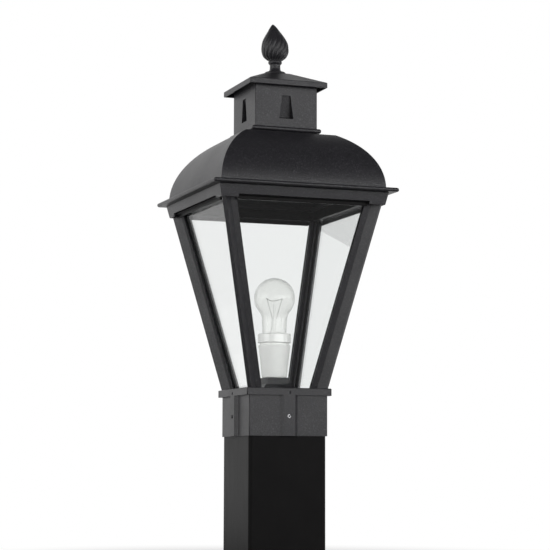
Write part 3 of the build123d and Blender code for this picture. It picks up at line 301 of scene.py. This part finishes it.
def see_through(r, tint, gloss, ior, normal=None):
    """Thin clear glass: what is behind it, tinted, under a mirror that grows towards its edge."""
    back = r.add("ShaderNodeNewGeometry").outputs["Backfacing"]
    turned = r.add("ShaderNodeMapRange", {"To Min": ior, "To Max": 1 / ior}, {"Value": back})
    links = {"IOR": turned.outputs["Result"]}
    if normal is not None:
        links["Normal"] = normal
    share = r.add("ShaderNodeFresnel", links=links).outputs["Fac"]
    clear = r.add("ShaderNodeBsdfTransparent", links={"Color": tint}).outputs["BSDF"]
    mirror_links = {"Normal": normal} if normal is not None else {}
    mirror = r.add("ShaderNodeBsdfGlossy", {"Roughness": gloss}, mirror_links).outputs["BSDF"]
    mix = r.add("ShaderNodeMixShader", links={0: share, 1: clear, 2: mirror})
    return r.finish(mix.outputs["Shader"])


def pane_glass():
    """Clear float glass, very slightly green."""
    r = Recipe("pane_glass")
    tint = r.ramp(r.noise(PANE_PATCH), PANE_TINTS)
    return see_through(r, tint, PANE_ROUGH, PANE_IOR)


def bulb_glass():
    """Thin blown glass with faint waves."""
    r = Recipe("bulb_glass")
    tint = r.ramp(r.noise(BULB_PATCH), BULB_TINTS)
    wave = r.bump(r.noise(BULB_WAVE, detail=1.0), BULB_WAVE_DEPTH)
    return see_through(r, tint, BULB_ROUGH, BULB_IOR, wave)


def stem_glass():
    """Solid pressed glass of the stem, which bends what is behind it a little."""
    r = Recipe("stem_glass")
    tint = r.ramp(r.noise(STEM_PATCH), STEM_TINTS)
    fold = r.bump(r.noise(STEM_FOLD), STEM_FOLD_DEPTH)
    values = {"Transmission Weight": 1.0, "IOR": STEM_IOR, "Roughness": STEM_ROUGH}
    return r.finish(r.surface(values, {"Base Color": tint, "Normal": fold}))


def porcelain():
    """White glazed porcelain with a faint warm cast."""
    r = Recipe("porcelain")
    tone = r.ramp(r.noise(GLAZE_PATCH, detail=5.0), GLAZE_TONES)
    gloss = r.ramp(r.noise(GLAZE_SPOT), GLAZE_GLOSS)
    glaze = r.bump(r.noise(GLAZE_PATCH), GLAZE_DEPTH)
    links = {"Base Color": tone, "Roughness": gloss, "Normal": glaze}
    return r.finish(r.surface({"Coat Weight": 0.5, "Coat Roughness": 0.05}, links))


def metal(name, dark, pale, rough, drawn=(1, 1, 1), grain=0.002):
    """A bare or plated metal with drawing or turning marks."""
    r = Recipe(name)
    marks = r.noise(grain, detail=4.0, stretch=drawn)
    tone = r.ramp(marks, ((0.25, dark), (0.75, pale)))
    gloss = r.ramp(marks, ((0.25, rough * 0.8), (0.75, rough * 1.25)))
    links = {"Base Color": tone, "Roughness": gloss, "Normal": r.bump(marks, MARK_DEPTH)}
    return r.finish(r.surface({"Metallic": 1.0}, links))


def moulded(name, dark, pale, rough, grain=0.0015):
    """Moulded plastic or rubber with a fine matt grain."""
    r = Recipe(name)
    speck = r.noise(grain, detail=3.0)
    tone = r.ramp(r.noise(grain * SPECK_PATCH), ((0.3, dark), (0.7, pale)))
    gloss = r.ramp(speck, ((0.3, rough * 0.85), (0.7, min(1.0, rough * 1.15))))
    links = {"Base Color": tone, "Roughness": gloss, "Normal": r.bump(speck, SPECK_DEPTH)}
    return r.finish(r.surface({}, links))


PAINT = powder_coat()
FINISHES = {
    "black_paint": PAINT,
    "pane_glass": pane_glass(),
    "bulb_glass": bulb_glass(),
    "bulb_stem": stem_glass(),
    "porcelain": porcelain(),
    "nickel": metal("nickel", (0.55, 0.53, 0.50), (0.66, 0.64, 0.60), 0.25, drawn=(1, 1, 6)),
    "brass": metal("brass", (0.60, 0.44, 0.18), (0.74, 0.57, 0.27), 0.28),
    "filament": metal("filament_wire", (0.30, 0.30, 0.29), (0.48, 0.47, 0.46), 0.30, grain=0.0008),
    "dark_steel": metal("dark_steel", (0.05, 0.05, 0.053), (0.10, 0.10, 0.105), 0.4, grain=0.001),
    "zinc_steel": metal("zinc_steel", (0.48, 0.49, 0.50), (0.62, 0.62, 0.61), 0.35, grain=0.004),
    "rubber": moulded("rubber", (0.018, 0.018, 0.018), (0.03, 0.03, 0.03), 0.75),
    "block_plastic": moulded("block_plastic", (0.72, 0.71, 0.66), (0.80, 0.79, 0.75), 0.45),
    "lead_sleeve": moulded("lead_sleeve", (0.24, 0.12, 0.06), (0.32, 0.18, 0.10), 0.6),
}
slot_of_node = {part["node"]: part["material_slot"] for part in frame["record"]["subparts"]}


def wear(item, material):
    """Give every face or curve of an object one material."""
    if not item.data.materials:
        item.data.materials.append(material)
    for place in item.material_slots:
        place.material = material


for name, item in frame["nodes"].items():
    wear(item, FINISHES[slot_of_node[name]])
wear(frame["nodes"]["post_section"], smooth_paint("post_paint", 0.035, 0.24))
rubbed_steel = metal("rubbed_steel", (0.10, 0.10, 0.105), (0.42, 0.42, 0.43), 0.22, grain=0.0012)
wear(frame["nodes"]["collar_set_screws"], rubbed_steel)
# the top frame gets a darker, less glossy copy of the black paint: painted shade for the shadowed inside of
# the hood
wear(frame["nodes"]["top_frame"], smooth_paint("painted_shade_frame_paint", 0.05, 0.0))


def soften(item, width):
    """Round the sharp edges of a folded or cast piece."""
    weld = item.modifiers.new("weld", "WELD")
    weld.merge_threshold = WELD_REACH
    bevel = item.modifiers.new("rounded edges", "BEVEL")
    bevel.width = width
    bevel.segments = EDGE_STEPS
    bevel.limit_method = "ANGLE"
    bevel.angle_limit = math.radians(EDGE_ANGLE)
    bevel.harden_normals = True


for name, width in EDGE_ROUND.items():
    soften(frame["nodes"][name], width)


# ---------------------------------------------------------------- finer pieces
def through(points, count):
    """Points along a smooth curve through a few (height, radius) points, evenly spread in order."""
    whole = sum((Vector(b) - Vector(a)).length for a, b in zip(points, points[1:]))
    ends = (points[0],) + tuple(points) + (points[-1],)
    made = []
    for k in range(len(points) - 1):
        before, here, there, after = (Vector(p) for p in ends[k:k + 4])
        steps = max(2, round(count * (there - here).length / whole))
        for step in range(steps):
            s = step / steps
            made.append(0.5 * (
                2 * here + (there - before) * s
                + (2 * before - 5 * here + 4 * there - after) * s * s
                + (3 * here - before - 3 * there + after) * s**3
            ))
    made.append(Vector(points[-1]))
    return made


def ring_surface(name, rings):
    """A closed mesh skin over rings of equally many points."""
    made = bmesh.new()
    rows = [[made.verts.new(point) for point in ring] for ring in rings]
    count = len(rows[0])
    for below, above in zip(rows, rows[1:]):
        for k in range(count):
            made.faces.new((below[k], below[(k + 1) % count], above[(k + 1) % count], above[k]))
    made.faces.new(list(reversed(rows[0])))
    made.faces.new(rows[-1])
    for face in made.faces:
        face.smooth = True
    mesh = bpy.data.meshes.new(name)
    made.to_mesh(mesh)
    made.free()
    item = bpy.data.objects.new(name, mesh)
    bpy.context.scene.collection.objects.link(item)
    return item


def flute_cut(share, turn):
    """Depth of the bud's flutes at a share of its height: rounded lobes between sharp grooves."""
    if not 0 <= share < FLUTE_END:
        return 0.0
    fade = math.cos(share / FLUTE_END * math.pi / 2) ** FLUTE_FADE * min(1.0, share / FLUTE_RISE + FLUTE_FOOT)
    groove = (1 - abs(math.sin(FLUTES * turn / 2))) ** FLUTE_SHARP
    return FLUTE_DEPTH * fade * groove


def fluted_finial():
    """Turned foot and a bud with fine spiral flutes, in place of the CAD finial."""
    foot_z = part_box("finial")[0].z
    segments = FLUTES * ROUND_STEPS
    rings = []
    for height, radius in through(FOOT_PROFILE, FOOT_RINGS) + through(BUD_PROFILE, BUD_RINGS):
        share = (height - BUD_FOOT) / (BUD_TOP - BUD_FOOT)
        lean = BUD_LEAN * (max(0.0, share - BUD_LEAN_FROM) / (1 - BUD_LEAN_FROM)) ** 2
        twist = math.radians(FLUTE_TWIST) * (height - BUD_FOOT)
        ring = []
        for k in range(segments):
            turn = 2 * math.pi * k / segments
            reach = radius - flute_cut(share, turn - twist)
            ring.append((
                (reach * math.cos(turn) - lean) * MM, reach * math.sin(turn) * MM, foot_z + height * MM
            ))
        rings.append(ring)
    finial = ring_surface("fluted_finial", rings)
    wear(finial, PAINT)
    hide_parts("finial")
    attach(finial, "finial")


def threaded_cap():
    """Screw cap of the bulb with its rolled thread, in place of the plain CAD cap."""
    low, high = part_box("bulb_cap")
    radius = (high.x - low.x) / 2
    start, end = low.z + CAP_SMOOTH[0], high.z - CAP_SMOOTH[1]
    profile = [(low.z + height, reach) for height, reach in CAP_TIP]
    profile.append((low.z + CAP_SHOULDER[0], radius - CAP_SHOULDER[1]))
    shell = high.z - low.z - CAP_SHELL
    profile += [(low.z + CAP_SHELL + shell * k / CAP_ROWS, radius) for k in range(CAP_ROWS + 1)]
    rings = []
    for height, reach in profile:
        blend = max(0.0, min(1.0, (height - start) / CAP_FADE, (end - height) / CAP_FADE))
        ring = []
        for k in range(CAP_COLUMNS):
            turn = 2 * math.pi * k / CAP_COLUMNS
            wave = 0.5 - 0.5 * math.cos(2 * math.pi * height / CAP_THREAD_PITCH - turn)
            out = reach - CAP_THREAD_DEPTH * blend * wave
            ring.append((out * math.cos(turn), out * math.sin(turn), height))
        rings.append(ring)
    cap = ring_surface("threaded_cap", rings)
    wear(cap, FINISHES["nickel"])
    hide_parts("bulb_cap")
    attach(cap, "bulb")


def wire(name, points, radius):
    """A round filament wire along points."""
    data = bpy.data.curves.new(name, "CURVE")
    data.dimensions = "3D"
    data.bevel_depth = radius
    data.bevel_resolution = 2
    data.use_fill_caps = True
    line = data.splines.new("POLY")
    line.points.add(len(points) - 1)
    for point, place in zip(line.points, points):
        point.co = (*place, 1)
    item = bpy.data.objects.new(name, data)
    bpy.context.scene.collection.objects.link(item)
    wear(item, FINISHES["filament"])
    return item


def coiled_filament():
    """Two support wires and the coiled filament slung between them, in place of the CAD wires."""
    low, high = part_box("filament")
    half = high.x - FILAMENT_INSET[0]
    top = high.z - FILAMENT_INSET[1]
    for sign, name in ((-1, "support_left"), (1, "support_right")):
        foot = (sign * SUPPORT_FOOT[0], 0, low.z + SUPPORT_FOOT[1])
        knee = (sign * half * SUPPORT_KNEE[0], 0, top - SUPPORT_KNEE[1])
        support = wire(name, [foot, knee, (sign * half, 0, top)], SUPPORT_R)
        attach(support, "bulb")
    points = []
    count = COIL_TURNS * COIL_POINTS
    for k in range(count + 1):
        s = 2 * k / count - 1
        turn = 2 * math.pi * COIL_TURNS * k / count
        middle = Vector((s * half, COIL_BOW * (1 - s * s), top - COIL_SAG * (1 - s * s)))
        points.append(middle + COIL_R * Vector((0, math.cos(turn), math.sin(turn))))
    coil = wire("filament_coil", points, COIL_WIRE_R)
    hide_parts("filament")
    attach(coil, "bulb")


fluted_finial()
threaded_cap()
coiled_filament()


# ---------------------------------------------------------------- studio and camera
def studio_world():
    """White for the camera and through glass; for other rays a white backdrop and two softboxes."""
    world = bpy.data.worlds.new("studio")
    bpy.context.scene.world = world
    world.use_nodes = True
    g = Graph(world.node_tree)
    where = g.add("ShaderNodeTexCoord").outputs["Generated"]
    height = g.add("ShaderNodeSeparateXYZ", links={0: where}).outputs["Z"]
    level = SURROUND
    for strength, aim, edge, top in (
        (BACKDROP, BACKDROP_AIM, BACKDROP_EDGE, BACKDROP_TOP),
        (FRONT_BOX, FRONT_BOX_AIM, FRONT_BOX_EDGE, FRONT_BOX_TOP),
        (LEFT_BOX, LEFT_BOX_AIM, LEFT_BOX_EDGE, LEFT_BOX_TOP),
    ):
        facing = g.add("ShaderNodeVectorMath", {1: aim}, {0: where}, operation="DOT_PRODUCT").outputs["Value"]
        sheet = g.math("MULTIPLY", g.ease(facing, *edge), g.ease(height, *top, 1.0, 0.0))
        level = g.math("ADD", g.math("MULTIPLY", sheet, strength), level)
    lit = g.add("ShaderNodeBackground", {"Color": WHITE}, {"Strength": level}).outputs["Background"]
    white = g.add("ShaderNodeBackground", {"Color": WHITE}).outputs["Background"]
    path = g.add("ShaderNodeLightPath").outputs
    plain = g.math("MAXIMUM", path["Is Camera Ray"], path["Is Transmission Ray"])
    mix = g.add("ShaderNodeMixShader", links={0: plain, 1: lit, 2: white}).outputs["Shader"]
    g.add("ShaderNodeOutputWorld", links={"Surface": mix})


def soft_lamp(name, place, watts):
    """A square softbox that points at the lantern's middle and lights it without showing in it."""
    data = bpy.data.lights.new(name, "AREA")
    data.shape = "SQUARE"
    data.size = LAMP_WIDTH
    data.energy = watts
    lamp = bpy.data.objects.new(name, data)
    lamp.location = place
    aim = Vector((0, 0, cad_box[1].z / 2)) - Vector(place)
    lamp.rotation_euler = aim.to_track_quat("-Z", "Y").to_euler()
    lamp.visible_glossy = False
    bpy.context.scene.collection.objects.link(lamp)


def pale_floor():
    """A white floor with a soft shadow by the lantern; reflections see it dim nearby and in front."""
    mesh = bpy.data.meshes.new("floor")
    made = bmesh.new()
    bmesh.ops.create_grid(made, x_segments=FLOOR_CELLS, y_segments=FLOOR_CELLS, size=FLOOR_HALF)
    made.to_mesh(mesh)
    made.free()
    floor = bpy.data.objects.new("floor", mesh)
    bpy.context.scene.collection.objects.link(floor)
    r = Recipe("pale_floor")
    reach = r.add("ShaderNodeVectorMath", links={0: r.place}, operation="LENGTH").outputs["Value"]
    paint = r.add("ShaderNodeBsdfDiffuse", {"Color": (*FLOOR_WHITE, 1)}).outputs["BSDF"]
    white = r.add("ShaderNodeEmission", {"Color": WHITE}).outputs["Emission"]
    share = r.ease(reach, *FLOOR_SHADE, FLOOR_PALE, 1.0)
    shown = r.add("ShaderNodeMixShader", links={0: share, 1: paint, 2: white}).outputs["Shader"]
    depth = r.add("ShaderNodeSeparateXYZ", links={0: r.place}).outputs["Y"]
    far = r.ease(depth, *FLOOR_SIDES, FLOOR_FRONT, 1.0)
    near = r.ease(reach, *FLOOR_DARK, 1.0, 0.0)
    dim = r.math("MULTIPLY", near, FLOOR_DIM)
    pale = r.math("MULTIPLY", far, r.math("SUBTRACT", 1.0, near))
    level = r.math("ADD", dim, pale)
    mirrored = r.add("ShaderNodeEmission", {"Color": WHITE}, {"Strength": level}).outputs["Emission"]
    path = r.add("ShaderNodeLightPath").outputs
    plain = r.math("MAXIMUM", path["Is Camera Ray"], path["Is Transmission Ray"])
    mix = r.add("ShaderNodeMixShader", links={0: plain, 1: mirrored, 2: shown})
    floor.data.materials.append(r.finish(mix.outputs["Shader"]))


def photo_camera():
    """The photograph's camera."""
    data = bpy.data.cameras.new("camera")
    data.sensor_width = SENSOR
    data.lens = SENSOR * FOCAL_PX / FRAME_PX
    data.clip_start, data.clip_end = CAMERA_CLIP
    camera = bpy.data.objects.new("camera", data)
    turn = math.radians(CAMERA_AZIMUTH)
    ahead = Vector((math.sin(turn), math.cos(turn), 0))
    right = Vector((math.cos(turn), -math.sin(turn), 0))
    camera.location = right * CAMERA_ASIDE - ahead * CAMERA_DISTANCE + Vector((0, 0, CAMERA_HEIGHT))
    camera.rotation_euler = (math.radians(90 + CAMERA_PITCH), math.radians(CAMERA_ROLL), -turn)
    bpy.context.scene.collection.objects.link(camera)
    bpy.context.scene.camera = camera


studio_world()
soft_lamp("key", KEY_LAMP, KEY_WATTS)
soft_lamp("side", SIDE_LAMP, SIDE_WATTS)
pale_floor()
photo_camera()
bpy.context.scene.view_settings.view_transform = "Standard"
